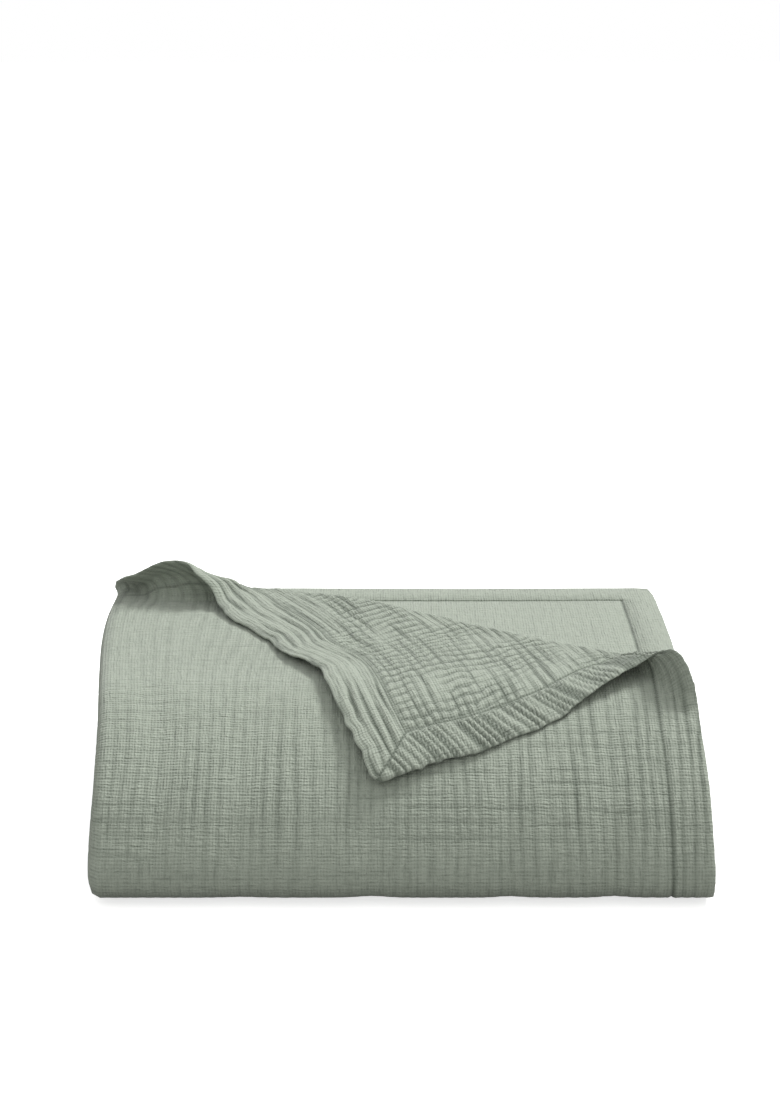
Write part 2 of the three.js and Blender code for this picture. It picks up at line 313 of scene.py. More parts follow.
@dataclass(frozen=True)
class Corner:
    """The turned-back corner: its roll, how it slopes down and rests, and how it hangs on the front.

    Its tables are rows of a place and a value. angle is how far the roll's axis turns from the stack's width,
    start_y where it meets the right side and mean_radius the radius that it is placed for. The shoulder
    rounds its left end. The cloth leaves the roll by its dip and eases off over ease_radius to lie
    rest_height high; with less than least_dip it never comes down. Past flap_after from the roll it gives
    the axis's bends back, but not where it stands up steeper than steepest_dip. skew is how much farther
    back the top ply ends at its right than at its left. hang_start, hang_shear and hang_shrink shape what
    hangs over the front, and stand_off holds it off the front where it is free.
    """

    angle: float = math.radians(28.6)
    start_y: float = -75.0
    roll_radii: Table = ROLL_RADII
    axis_bends: Table = BENDS
    dips: Table = DIPS
    mean_radius: float = 10.0
    shoulder_width: float = 40.0
    shoulder_overhang: float = 16.0
    ease_radius: float = 100.0
    rest_height: float = 4.0
    least_dip: float = 0.02
    steepest_dip: float = -0.5
    endless: float = 1000.0
    flap_after: float = 30.0
    skew: float = 24.6
    stand_off: float = 7.8
    stand_off_over: float = 110.0
    free_from_x: float = 180.0
    free_to_x: float = -10.0
    hang_start: float = 102.0
    hang_shear: float = 0.241
    hang_shrink: float = 0.086
    side_draws: Table = SIDE_DRAWS
    end_draws: Table = END_DRAWS
    draw_width: float = 150.0

    def drawn_in(self, across: Array, along: Array) -> Arrays:
        """Gives how far the side hem and the end hem of the corner are drawn in at flat points."""
        side = smooth_table(self.side_draws, along) * ramp(across, self.draw_width, 0)
        return side, smooth_table(self.end_draws, across) * ramp(along, self.draw_width, 0)

    def past_axis(self, x: Array, y: Array, right_x: float) -> Array:
        """Gives how far points of the unrolled top ply lie past the roll's axis."""
        shifted = y + smooth_table(self.axis_bends, x)
        return (x - right_x) * math.sin(self.angle) + (shifted - self.start_y) * math.cos(self.angle)

    def _profile(self, past: Array, radius: Array, dip: Array) -> Arrays:
        """Follows the cloth round the roll, down its slope and on along the ply below.

        Args:
            past: How far each point lies past the start of the roll.
            radius: The roll's radius there.
            dip: How far below level the cloth leaves the roll, in radians.

        Returns:
            How far each point reaches over the axis, its height, and where the roll ends.
        """
        eased = np.maximum(dip, self.least_dip)
        cos_dip, sin_dip = np.cos(dip), np.sin(dip)
        drop = radius * (1 + cos_dip) - self.ease_radius * (1 - cos_dip) - self.rest_height
        slope = np.where(dip > self.least_dip, drop / np.sin(eased), self.endless)
        roll_end = radius * (math.pi + dip)
        ease_end = roll_end + slope + self.ease_radius * eased
        angle = np.minimum(past / radius, math.pi + dip)
        down = np.clip(past - roll_end, 0.0, slope)
        left = np.clip((ease_end - past) / self.ease_radius, 0.0, eased)
        level = np.maximum(past - ease_end, 0.0)
        eased_reach = self.ease_radius * (np.sin(eased) - np.sin(left))
        reach = radius * np.sin(angle) - down * cos_dip - eased_reach - level
        height = radius * (1 - np.cos(angle)) - down * sin_dip
        return reach, height - self.ease_radius * (np.cos(left) - np.cos(eased)), roll_end

    def roll(self, x: Array, y: Array, right_x: float, width: float) -> Arrays:
        """Rolls the corner of the flat top ply back over itself.

        Args:
            x: Places across the flat top ply.
            y: Places along it.
            right_x: The ply's right edge.
            width: The ply's width.

        Returns:
            Where each point goes in x and y, its height over the ply, and 1 where it lies past the roll.
        """
        cos, sin = math.cos(self.angle), math.sin(self.angle)
        bend = smooth_table(self.axis_bends, x)
        along_axis = -(x - right_x) * cos + (y + bend - self.start_y) * sin
        share = along_axis * cos / width
        radius = smooth_table(self.roll_radii, share)
        spread = math.pi / 2 * (radius - self.mean_radius)
        from_left = (x - right_x + width + self.shoulder_overhang) / self.shoulder_width
        from_left = np.clip(from_left, 0.0, 1.0)
        shoulder = np.sqrt(from_left * (2 - from_left))
        past = np.maximum((self.past_axis(x, y, right_x) + spread) * shoulder, 0.0)
        dip = np.radians(smooth_table(self.dips, share))
        reach, height, roll_end = self._profile(past, radius, dip)
        flap = ramp(past, radius, roll_end + self.flap_after)
        reach = reach - spread
        given_back = 2 * cos * bend * flap * ramp(dip, self.steepest_dip, 0.0)
        rolled_x = right_x - along_axis * cos + reach * sin + given_back * sin
        rolled_y = self.start_y + along_axis * sin + reach * cos - bend + given_back * cos
        changes = ((rolled_x, x), (rolled_y, y), (height, 0.0), (flap, 0.0))
        return tuple(np.where(past > 0, turned, flat) for turned, flat in changes)


@dataclass(frozen=True)
class Swell:
    """How the loose back left of the stack rises and bulges, and where each of these grows."""

    back: float = 7.5
    left_back: float = -2.7
    from_x: float = -100.0
    to_x: float = -290.0
    from_y: float = -200.0
    to_y: float = 100.0
    bulge: float = 40.0
    bulge_from_y: float = -220.0
    bulge_to_y: float = 190.0
    ply_lift: float = 0.9
    lift_from_x: float = -60.0
    lift_to_x: float = -270.0
    lift_to_along: float = 60.0


@dataclass(frozen=True)
class Stray:
    """How far the plies stray to the side and along towards the back of the stack."""

    side: float = 4.0
    along: float = 5.0
    from_y: float = -150.0
    to_y: float = 150.0
    side_height: float = 24.0
    along_height: float = 30.0
    length: float = 190.0


@dataclass
class FoldedStack:
    """How the flat cloth is folded: in four across its width and in six along its length. Millimetres."""

    width: float = 2340.0
    length: float = 2740.0
    thickness: float = 3.6
    pitch: float = 6.5
    left_x: float = -284.0
    top_end_y: float = 243.0
    back_turn_y: float = 233.0
    centre_x: float = -13.06
    centre_y: float = 0.55
    corner: Corner = field(default_factory=Corner)
    swell: Swell = field(default_factory=Swell)
    stray: Stray = field(default_factory=Stray)

    def __post_init__(self) -> None:
        """Works out the runs across the width and along the length."""
        pitch = self.pitch
        outer, inner = 1.5 * pitch, 0.5 * pitch
        self.outer_level = outer
        self.ply_width = (self.width - math.pi * (outer + 2 * inner)) / 4
        self.right_x = self.left_x + self.ply_width
        self.across = [
            StraightPly(self.ply_width, self.right_x, -1, outer),
            SideFold(self.left_x, 0, outer, math.pi / 2, 1),
            StraightPly(self.ply_width, self.left_x, 1, -outer),
            SideFold(self.right_x, -pitch, inner, -math.pi / 2, 1),
            StraightPly(self.ply_width, self.right_x, -1, -inner),
            SideFold(self.left_x, 0, inner, 3 * math.pi / 2, -1),
            StraightPly(self.ply_width, self.left_x, 1, inner),
        ]
        leaning = {"y": -125, "reach": 1.38, "lean": 0.84, "squareness": 3.2}
        outer_wrap, middle_wrap = Wrap(10 * pitch, **leaning), Wrap(6 * pitch, **leaning)
        inner_wrap = Wrap(2 * pitch, y=-113, reach=1.2, lean=0.3, squareness=2)
        middle_z, back = 12 * pitch, self.back_turn_y
        runs: list[Any] = [
            self._layer(outer_wrap, self.top_end_y, 22, over=True, outward=1, to_front=True),
            FrontWrap(outer_wrap, middle_z, falling=True, outward=1),
            self._layer(outer_wrap, back, 2, over=False, outward=1, to_front=False),
            BackTurn(back, 4 * pitch, 2 * pitch, 1),
            self._layer(middle_wrap, back, 6, over=False, outward=-1, to_front=True),
            FrontWrap(middle_wrap, middle_z, falling=False, outward=-1),
            self._layer(middle_wrap, back, 18, over=True, outward=-1, to_front=False),
            BackTurn(back, 16 * pitch, 2 * pitch, -1),
            self._layer(inner_wrap, back, 14, over=True, outward=1, to_front=True),
            FrontWrap(inner_wrap, middle_z, falling=True, outward=1),
        ]
        used = sum(run.length for run in runs)
        last_end = inner_wrap.y - inner_wrap.lean * inner_wrap.radius + self.length - used
        runs.append(self._layer(inner_wrap, last_end, 10, over=False, outward=1, to_front=False))
        self.along = runs
        self.top_length = runs[0].length
        self.front_end = runs[0].length + runs[1].length

    def _layer(
        self, wrap: Wrap, back_y: float, level: int, over: bool, outward: float, to_front: bool
    ) -> Layer:
        """Gives the level stretch between the back and a wrap, over or under the wrap's middle.

        Args:
            wrap: The wrap that the stretch runs to or from.
            back_y: Where it ends at the back.
            level: Its height, counted in plies.
            over: True above the wrap's middle.
            outward: 1 where the right side faces out of the wrap and -1 where it faces in.
            to_front: True where the cloth runs from the back to the front.

        Returns:
            The stretch as a layer.
        """
        side = 1 if over else -1
        wrap_y = wrap.y + side * wrap.lean * wrap.radius
        shear, up = outward * side * wrap.lean, outward * side
        if to_front:
            return Layer(back_y, wrap_y, level * self.pitch, 0, shear, up)
        return Layer(wrap_y, back_y, level * self.pitch, shear, 0, up)

    def top_plane(self, across: Array, along: Array) -> Arrays:
        """Gives where points of the first ply lie in the plane of the unrolled top."""
        x = self.right_x - across
        wide = (x - self.left_x) / self.ply_width
        skewed = self.corner.skew * wide * np.clip(1 - along / self.top_length, 0, 1)
        return x, self.top_end_y - along + skewed

    def _fold_top(self, x: Array, along: Array) -> Arrays:
        """Gives x, the distance along the bundle and the height for points of the first ply."""
        corner = self.corner
        _, y = self.top_plane(self.right_x - x, along)
        rolled_x, rolled_y, height, flap = corner.roll(x, y, self.right_x, self.ply_width)
        hanging = flap * np.maximum(self.top_end_y - rolled_y - self.top_length + corner.hang_start, 0)
        free = ramp(rolled_x, corner.free_from_x, corner.free_to_x)
        stand_off = corner.stand_off * ramp(hanging, 0, corner.stand_off_over) * free
        station = self.top_end_y - rolled_y - corner.hang_shrink * hanging * free
        return rolled_x - corner.hang_shear * hanging, station, height + stand_off

    def middle(self, across: Array, along: Array) -> Array:
        """Gives where the middle of the cloth lies in the stack.

        Args:
            across: Distances across the flat cloth.
            along: Distances along it.

        Returns:
            Points in millimetres in the row frame, one row each.
        """
        section = follow(self.across, across)
        x, level = section[:, 0].copy(), section[:, 1]
        station, height = along.astype(float).copy(), np.zeros(len(along))
        wrap_middle = self.top_length + self.along[1].length / 2
        first = (across <= self.ply_width) & (along < wrap_middle)
        if first.any():
            side, end = self.corner.drawn_in(across[first], along[first])
            x[first], station[first], height[first] = self._fold_top(x[first] - side, along[first] + end)
        outer = across <= self.ply_width + self.across[1].length
        upper = np.clip((1 + level / self.outer_level) / 2, 0, 1)
        beside = outer & (across > self.ply_width) & (along < wrap_middle)
        if beside.any():
            _, end = self.corner.drawn_in(np.array(self.ply_width), along[beside])
            pulled = self._fold_top(np.full(int(beside.sum()), self.left_x), along[beside] + end)
            share = upper[beside]
            x[beside] += share * (pulled[0] - self.left_x)
            station[beside] += share * (pulled[1] - along[beside])
            height[beside] += share * pulled[2]
        swell = self.swell
        loose = ramp(x, swell.lift_from_x, swell.lift_to_x)
        loose = loose * ramp(station, self.top_length, swell.lift_to_along)
        height += np.where(outer, swell.ply_lift * upper * loose, 0.0)
        here = follow(self.along, station)
        slope = follow(self.along, station + 1) - follow(self.along, station - 1)
        slope_y = slope[:, 0] + level * slope[:, 2]
        slope_z = slope[:, 1] + level * slope[:, 3]
        lift = height / np.hypot(slope_y, slope_z)
        y = here[:, 0] + level * here[:, 2] + lift * slope_z
        z = here[:, 1] + level * here[:, 3] - lift * slope_y
        return self._loosen(np.stack([x, y, z + self.thickness / 2 - self.pitch / 2], axis=1))

    def _loosen(self, points: Array) -> Array:
        """Swells the back left, lets the plies stray and centres the stack on the origin."""
        swell, stray = self.swell, self.stray
        x, y, z = points[:, 0], points[:, 1], points[:, 2]
        left = ramp(x, swell.from_x, swell.to_x)
        high = ramp(z, 4 * self.pitch, 24 * self.pitch)
        z = z + (swell.back + swell.left_back * left) * ramp(y, swell.from_y, swell.to_y) * high
        x = x - swell.bulge * left * high * ramp(y, swell.bulge_from_y, swell.bulge_to_y)
        back = ramp(y, stray.from_y, stray.to_y)
        x = x + stray.side * back * np.sin(z / stray.side_height + y / stray.length)
        y = y + stray.along * back * np.sin(z / stray.along_height - x / stray.length)
        return np.stack([x - self.centre_x, y - self.centre_y, z], axis=1)

    def carry(self, across: Array, along: Array, over: Array) -> Array:
        """Carries points of the flat slab to the folded stack.

        Args:
            across: Distances across the flat cloth.
            along: Distances along it.
            over: Heights over the middle of the cloth, towards its right side.

        Returns:
            Points in metres in the row frame, one row each.
        """
        step = 0.5
        u_in, v_in = np.clip(across, 0, self.width), np.clip(along, 0, self.length)
        u0, u1 = np.clip(u_in - step, 0, self.width), np.clip(u_in + step, 0, self.width)
        v0, v1 = np.clip(v_in - step, 0, self.length), np.clip(v_in + step, 0, self.length)
        along_width = self.middle(u1, v_in) - self.middle(u0, v_in)
        along_length = self.middle(u_in, v1) - self.middle(u_in, v0)
        normal = np.cross(along_width, along_length)
        normal /= np.linalg.norm(normal, axis=1, keepdims=True)
        return (self.middle(across, along) + normal * over[:, None]) * MM


# The crinkled gauze


class Side(Enum):
    """The two sides of the cloth, as the direction from its middle."""

    RIGHT = 1
    WRONG = -1

    @property
    def other(self) -> "Side":
        """The opposite side."""
        return Side(-self.value)


@dataclass(frozen=True)
class Crease:
    """One long soft trough of the cloth, which fades out over both its ends.

    start and end are places (across, along) on the flat cloth and bow is how far its middle strays from the
    straight line between them. seen tells which side it is a trough on.
    """

    seen: Side
    start: Pair
    end: Pair
    width: float
    depth: float
    bow: float = 0.0
    FADE_OUTSIDE = 0.1
    FADE_INSIDE = 0.25

    def at(self, across: Array, along: Array) -> Array:
        """Gives how far the middle of the cloth moves towards its right side at flat points."""
        way = np.subtract(self.end, self.start)
        length = float(np.hypot(*way))
        ahead, aside = way / length, np.array([-way[1], way[0]]) / length
        x, y = across - self.start[0], along - self.start[1]
        share = (x * ahead[0] + y * ahead[1]) / length
        off = x * aside[0] + y * aside[1] - self.bow * 4 * share * (1 - share)
        fade = ramp(share, -self.FADE_OUTSIDE, self.FADE_INSIDE)
        fade = fade * ramp(share, 1 + self.FADE_OUTSIDE, 1 - self.FADE_INSIDE)
        return -self.seen.value * self.depth * fade * np.exp(-((off / self.width) ** 2))


MAIN_CREASES = (
    Crease(Side.WRONG, (60, 62), (520, 46), width=7, depth=2.0, bow=6),
    Crease(Side.WRONG, (120, 96), (560, 88), width=8, depth=1.6, bow=-8),
    Crease(Side.WRONG, (150, 150), (430, 140), width=9, depth=1.4, bow=8),
    Crease(Side.WRONG, (40, 130), (250, 190), width=12, depth=1.5, bow=6),
    Crease(Side.WRONG, (150, 16), (30, 8), width=5, depth=1.3, bow=3),
    Crease(Side.WRONG, (260, 30), (40, 27), width=5, depth=1.5, bow=-3),
    Crease(Side.RIGHT, (540, 300), (520, 520), width=16, depth=2.2, bow=8),
    Crease(Side.RIGHT, (430, 330), (440, 560), width=20, depth=1.8, bow=-8),
    Crease(Side.RIGHT, (330, 400), (320, 600), width=18, depth=1.5, bow=6),
    Crease(Side.RIGHT, (80, 360), (90, 590), width=16, depth=1.6, bow=-5),
    Crease(Side.RIGHT, (200, 420), (190, 610), width=15, depth=1.3, bow=5),
)


@dataclass(frozen=True)
class Rise:
    """A smooth change by an amount over a stretch of the cloth, from start to end."""

    amount: float
    start: float
    end: float

    def at(self, place: Array) -> Array:
        """Gives the change at places on the cloth."""
        return self.amount * ramp(place, self.start, self.end)


@dataclass(frozen=True)
class Pattern:
    """A soft uneven pattern on the flat cloth, between -strength and strength.

    wide and long are the sizes of its features across and along the cloth; start is where it is read from.
    """

    noise: SoftNoise
    strength: float
    wide: float
    long: float
    start: Pair = (0.0, 0.0)

    def at(self, across: Array, along: Array) -> Array:
        """Gives the pattern's values at flat points."""
        x, y = across / self.wide + self.start[0], along / self.long + self.start[1]
        return self.strength * self.noise.at(x, y)


@dataclass(frozen=True)
class Strength:
    """How strong some grooves are over the cloth: a mean with a pattern on it, kept between two limits."""

    mean: float
    pattern: Pattern
    least: float
    most: float

    def at(self, across: Array, along: Array) -> Array:
        """Gives the share of the full depth at flat points."""
        return np.clip(self.mean + self.pattern.at(across, along), self.least, self.most)


@dataclass(frozen=True)
class Grooves:
    """A set of side by side grooves: their pitch, depth and sharpness, and the patterns that bend them."""

    pitch: float
    depth: float
    sharpness: float
    bends: tuple[Pattern, ...] = ()

    def bend(self, across: Array, along: Array) -> Array:
        """Gives how far the grooves stray at flat points, as a share of their pitch."""
        return sum(pattern.at(across, along) for pattern in self.bends)

    def profile(self, phase: Array) -> Array:
        """Gives 1 in the middle of a groove, at each whole phase, and 0 between two of them."""
        return (0.5 + 0.5 * np.cos(2 * np.pi * phase)) ** self.sharpness


def crossed(first: Array, second: Array, share: float) -> Array:
    """Lays two sets of grooves over each other; the shallower one adds a share where they cross."""
    return np.maximum(first, second) + share * np.minimum(first, second)


SWAY, FINE, LOFT, CROSS = (SoftNoise(seed) for seed in (11, 12, 13, 14))


@dataclass(frozen=True)
class Crinkle:
    """The relief of lofted gauze after its wash, as depths in millimetres below its full thickness.

    Ribs run along the cloth on its right side. Ridges run across it on its wrong side, where cross grooves
    break them into puffs. Hems and their stitched lines are pressed into both sides, and the side hem is
    gathered. The right side's relief has top_share of its depth on top and changes where the rises say.
    """

    side_hem: float = 35.0
    end_hem: float = 42.0
    seam_offset: float = 2.4
    seam_width: float = 1.7
    seam_overlap: float = 1.0
    mitre_narrowing: float = 1.3
    ribs: Grooves = Grooves(
        pitch=11.5,
        depth=0.8,
        sharpness=1.9,
        bends=(Pattern(SWAY, 0.8, 60, 170), Pattern(FINE, 0.25, 15, 60)),
    )
    rib_strength: Strength = Strength(0.62, Pattern(LOFT, 0.4, 18, 75), 0.25, 1.1)
    ribs_to_right: Rise = Rise(0.8, 240, 60)
    top_share: float = 0.5
    over_front: Rise = Rise(0.5, 300, 430)
    low_front: Rise = Rise(-0.65, 440, 560)
    to_back: Rise = Rise(0.7, 160, 70)
    wefts: Grooves = Grooves(
        pitch=13.0,
        depth=0.7,
        sharpness=4,
        bends=(Pattern(SWAY, 0.5, 260, 60, (30, 0)), Pattern(FINE, 0.12, 40, 20)),
    )
    weft_run: float = 45.0
    weft_step: Pair = (5.0, 0.37)
    weft_limits: Pair = (-0.6, 0.8)
    weft_patches: Pattern = Pattern(CROSS, 1.0, 150, 110, (3.3, 0))
    patch_limits: Pair = (-0.3, 0.5)
    ridges: Grooves = Grooves(
        pitch=9.6,
        depth=2.4,
        sharpness=2.4,
        bends=(Pattern(SWAY, 0.35, 200, 70, (20, 0)), Pattern(FINE, 0.2, 30, 13)),
    )
    ridge_strength: Strength = Strength(0.62, Pattern(LOFT, 0.6, 45, 9, (40, 0)), 0.12, 1.1)
    puffs: Grooves = Grooves(
        pitch=11.0,
        depth=1.9,
        sharpness=2.4,
        bends=(Pattern(SWAY, 0.8, 50, 40, (60, 0)), Pattern(FINE, 0.25, 12, 9)),
    )
    puff_patches: Pattern = Pattern(CROSS, 1.0, 40, 30, (9, 0))
    puff_limits: Pair = (-1.0, 0.5)
    puffs_to_right: Rise = Rise(1.0, 640, 300)
    puff_start: Pair = (-4.0, 6.0)
    gathers: Grooves = Grooves(
        pitch=7.2,
        depth=2.88,
        sharpness=1.8,
        bends=(Pattern(SWAY, 0.45, math.inf, 19, (7, 0)), Pattern(FINE, 0.05, 20, 14)),
    )
    gather_strength: Strength = Strength(0.75, Pattern(LOFT, 0.7, 90, 13, (3, 11)), 0.25, 1.2)
    gather_slant: float = 0.45
    folds: Grooves = Grooves(pitch=33.0, depth=2.3, sharpness=9)
    fold_bend: float = 1.3
    crossing_right: float = 0.4
    crossing_wrong: float = 0.3
    creases: Sequence[Crease] = MAIN_CREASES

    def seams(self, across: Array, along: Array, width: float, length: float) -> Array:
        """Gives 1 on the stitched lines of the hems and 0 away from them."""
        side = np.minimum(across, width - across) - self.side_hem - self.seam_offset
        end = np.minimum(along, length - along) - self.end_hem - self.seam_offset
        to_side_seam = np.where(end > -self.seam_overlap, np.abs(side), math.inf)
        to_end_seam = np.where(side > -self.seam_overlap, np.abs(end), math.inf)
        near = np.minimum(to_side_seam, to_end_seam)
        mitre = np.abs(side * self.end_hem - end * self.side_hem) / math.hypot(self.side_hem, self.end_hem)
        turned = (side < 0) & (end < 0) & (across < width / 2)
        near = np.where(turned, np.minimum(near, mitre * self.mitre_narrowing), near)
        return np.exp(-((near / self.seam_width) ** 2))

    def right_side(self, across: Array, along: Array) -> Array:
        """Gives the depth of the ribs and cross grooves on the right side."""
        strong = self.rib_strength.at(across, along) * (1 + self.ribs_to_right.at(across))
        shown = (self.top_share + self.over_front.at(along)) * (1 + self.low_front.at(along))
        shown = shown + self.to_back.at(along)
        phase = across / self.ribs.pitch + self.ribs.bend(across, along)
        ribs = self.ribs.depth * strong * shown * self.ribs.profile(phase)
        phase = along / self.wefts.pitch + self.wefts.bend(across, along)
        line = np.round(phase)
        aside, ahead = self.weft_step
        run = ramp(CROSS.at(across / self.weft_run + aside * line, ahead * line), *self.weft_limits)
        patch = 0.5 + 0.5 * ramp(self.weft_patches.at(across, along), *self.patch_limits)
        wefts = self.wefts.depth * run * shown * patch * self.wefts.profile(phase)
        return crossed(ribs, wefts, self.crossing_right)

    def wrong_side(self, across: Array, along: Array) -> Array:
        """Gives the depth of the grooves beside the ridges, across them and in the gathered hem."""
        strong = self.ridge_strength.at(across, along)
        phase = along / self.ridges.pitch + self.ridges.bend(across, along)
        ridges = self.ridges.depth * strong * self.ridges.profile(phase)
        shown = ramp(self.puff_patches.at(across, along), *self.puff_limits) * self.puffs_to_right.at(across)
        shown = shown * ramp(along, *(self.end_hem + off for off in self.puff_start))
        phase = across / self.puffs.pitch + self.puffs.bend(across, along)
        puffs = self.puffs.depth * shown * self.puffs.profile(phase)
        slant = along + self.gather_slant * (across - self.side_hem)
        bunch = self.gathers.bend(across, slant)
        strong = self.gather_strength.at(across, slant)
        gathers = self.gathers.depth * strong * self.gathers.profile(slant / self.gathers.pitch + bunch)
        folds = self.folds.depth * self.folds.profile(slant / self.folds.pitch + self.fold_bend * bunch)
        in_hem = (across < self.side_hem) & (along > self.end_hem * across / self.side_hem)
        return np.where(in_hem, np.maximum(gathers, folds), crossed(ridges, puffs, self.crossing_wrong))

    def lift(self, across: Array, along: Array) -> Array:
        """Gives how far the listed creases move the middle of the cloth to its right side."""
        return sum(crease.at(across, along) for crease in self.creases)


@dataclass(frozen=True)
class CottonGauze:
    """Cotton muslin gauze in several loose layers, piece-dyed sage green and washed so that it crinkles.

    To the eye it is fully matt and a little fuzzy, lighter on its puffs than in the grooves between them,
    and its open weave shows as a fine grid. The darker grooves are partly the thinner cloth there and partly
    painted shade. The crimps and the threads are also drawn paler where they stand up and darker where they
    sink, as painted shade. The real threads lie about 1 mm apart; the grid is drawn at
    2.9 mm, so that it still reads in a picture of the whole blanket. By its counts a crimp is about 18 mm
    long and 3 mm wide, a tuft of fuzz 2.4 mm and a patch of uneven dye 36 mm. The shares add up to how far
    the colour goes from the puffs' colour to the hollows' colour of thinner cloth and painted shade.
    """

    name: str = "washed_cotton_muslin_gauze"
    puff_colour: str = "a8b0a2"
    # the hollows' colour: partly the thinner cloth, partly painted shade
    thin_and_shade_colour: str = "747c70"
    thread_pitch: float = 2.9 * MM
    thread_waver: float = 2.5
    crinkle_pitch: float = 10.5 * MM
    crinkle_waver: float = 5.0
    crimps_per_metre: Pair = (55.0, 300.0)
    fuzz_per_metre: float = 420.0
    patches_per_metre: float = 28.0
    base_share: float = 0.55
    patch_share: float = 0.18
    # the crimps and threads darken the colour where they sink and pale it where they stand up: painted shade
    crimp_shade_share: float = -1.1
    thread_shade_share: float = -0.09
    thread_relief: float = 0.38 * MM
    thread_sharpness: float = 0.8
    fuzz_relief: float = 1.4
    crimp_relief: float = 2.4 * MM
    crinkle_relief: float = 0.3 * MM
    roughness: float = 0.93
    sheen: float = 0.25
    sheen_roughness: float = 0.5
    specular: float = 0.2

    def material(self) -> bpy.types.Material:
        """Builds the material; its patterns read the cloth's flat map, in metres."""
        values = {"Roughness": self.roughness, "Specular IOR Level": self.specular}
        values |= {"Sheen Weight": self.sheen, "Sheen Roughness": self.sheen_roughness}
        material, tree, shader = new_material(self.name, values)
        flat = node(tree, "ShaderNodeUVMap", uv_map=GauzeBlanket.FLAT_MAP)
        on_cloth = {"Vector": (flat, "UV")}
        values = {"Scale": WAVE_PERIOD / self.thread_pitch, "Distortion": self.thread_waver}
        values |= {"Detail": 2.0, "Detail Scale": 0.6}
        ways = ("X", "Y")
        weave = [node(tree, "ShaderNodeTexWave", on_cloth, values, bands_direction=way) for way in ways]
        both = {0: (weave[0], "Fac"), 1: (weave[1], "Fac")}
        threads = node(tree, "ShaderNodeMath", both, operation="ADD")
        crimps = []
        for stretch in (self.crimps_per_metre, self.crimps_per_metre[::-1]):
            laid = node(tree, "ShaderNodeMapping", on_cloth, {"Scale": (*stretch, 1.0)})
            values = {"Scale": 1.0, "Detail": 2.5, "Roughness": 0.6}
            crimps.append(node(tree, "ShaderNodeTexNoise", {"Vector": laid}, values))
        both = {0: (crimps[0], "Fac"), 1: (crimps[1], "Fac")}
        crimped = node(tree, "ShaderNodeMath", both, operation="MINIMUM")
        fuzz = node(tree, "ShaderNodeTexNoise", on_cloth, {"Scale": self.fuzz_per_metre, "Detail": 3.0})
        uneven = node(tree, "ShaderNodeTexNoise", on_cloth, {"Scale": self.patches_per_metre, "Detail": 4.0})
        relief = node(tree, "ShaderNodeAttribute", attribute_name=GauzeBlanket.RELIEF)
        # painted shade in the hollows, read from the mesh; partly the thinner cloth there
        thin_and_shade = node(tree, "ShaderNodeAttribute", attribute_name=GauzeBlanket.THIN_AND_SHADE)
        values = {"Scale": WAVE_PERIOD / self.crinkle_pitch, "Distortion": self.crinkle_waver, "Detail": 2.0}
        crinkle = node(tree, "ShaderNodeTexWave", on_cloth, values, bands_direction="X")
        plain = node(tree, "ShaderNodeMath", {1: (relief, "Fac")}, {0: 1.0}, operation="SUBTRACT")
        drawn = node(tree, "ShaderNodeMath", {0: (crinkle, "Fac"), 1: plain}, operation="MULTIPLY")
        # the share of the hollows' colour: the hollows' painted shade, the uneven dye, and the painted shade
        # of low crimps and threads
        dye_and_shade = (thin_and_shade, "Fac")
        shares = ((uneven, self.patch_share), (crimped, self.crimp_shade_share), (threads, self.thread_shade_share))
        for giver, share in shares:
            dye_and_shade = node(tree, "ShaderNodeMath", {0: giver, 2: dye_and_shade}, {1: share}, operation="MULTIPLY_ADD")
        base = {1: self.base_share}
        paled = node(tree, "ShaderNodeMath", {0: dye_and_shade}, base, operation="ADD", use_clamp=True)
        # mixes from the puff colour to the hollows' colour, which paints the shade into the base colour
        colours = {MIX_LOW: linear(self.puff_colour), MIX_HIGH: linear(self.thin_and_shade_colour)}
        mixed_colour = node(tree, "ShaderNodeMix", {0: paled}, colours, data_type="RGBA")
        tree.links.new(mixed_colour.outputs[MIX_RESULT], shader.inputs["Base Color"])
        summed = {0: (fuzz, "Fac"), 2: threads}
        heights = node(tree, "ShaderNodeMath", summed, {1: self.fuzz_relief}, operation="MULTIPLY_ADD")
        values = {"Distance": self.thread_relief, "Strength": self.thread_sharpness}
        bump = node(tree, "ShaderNodeBump", {"Height": heights}, values)
        for height, distance in ((crimped, self.crimp_relief), (drawn, self.crinkle_relief)):
            values = {"Distance": distance, "Strength": 1.0}
            bump = node(tree, "ShaderNodeBump", {"Height": height, "Normal": bump}, values)
        tree.links.new(bump.outputs["Normal"], shader.inputs["Normal"])
        return material


# The length of one wave of a wave texture at scale 1, and the colour sockets of a mix node
WAVE_PERIOD = math.pi / 10
MIX_LOW, MIX_HIGH, MIX_RESULT = 6, 7, 2


def node(
    tree: bpy.types.NodeTree,
    kind: str,
    links: dict | None = None,
    values: dict | None = None,
    **settings: Any,
) -> bpy.types.Node:
    """Adds a node with its settings, links and input values.

    Args:
        tree: The node tree.
        kind: The node's type name.
        links: For an input's name or number, the node that feeds it, or a pair of node and output name.
        values: For an input's name or number, its value.
        settings: Attributes of the node to set.

    Returns:
        The node.
    """
    made = tree.nodes.new(kind)
    for name, value in settings.items():
        setattr(made, name, value)
    for target, value in (values or {}).items():
        made.inputs[target].default_value = value
    for target, source in (links or {}).items():
        giver, output = source if isinstance(source, tuple) else (source, 0)
        tree.links.new(giver.outputs[output], made.inputs[target])
    return made


def new_material(name: str, values: dict) -> tuple[bpy.types.Material, bpy.types.NodeTree, bpy.types.Node]:
    """Makes a material with these values on its shader.

    Args:
        name: The material's name.
        values: For a shader input's name, its value.

    Returns:
        The material, its node tree and its shader.
    """
    material = bpy.data.materials.new(name)
    material.use_nodes = True
    shader = material.node_tree.nodes["Principled BSDF"]
    for target, value in values.items():
        shader.inputs[target].default_value = value
    return material, material.node_tree, shader


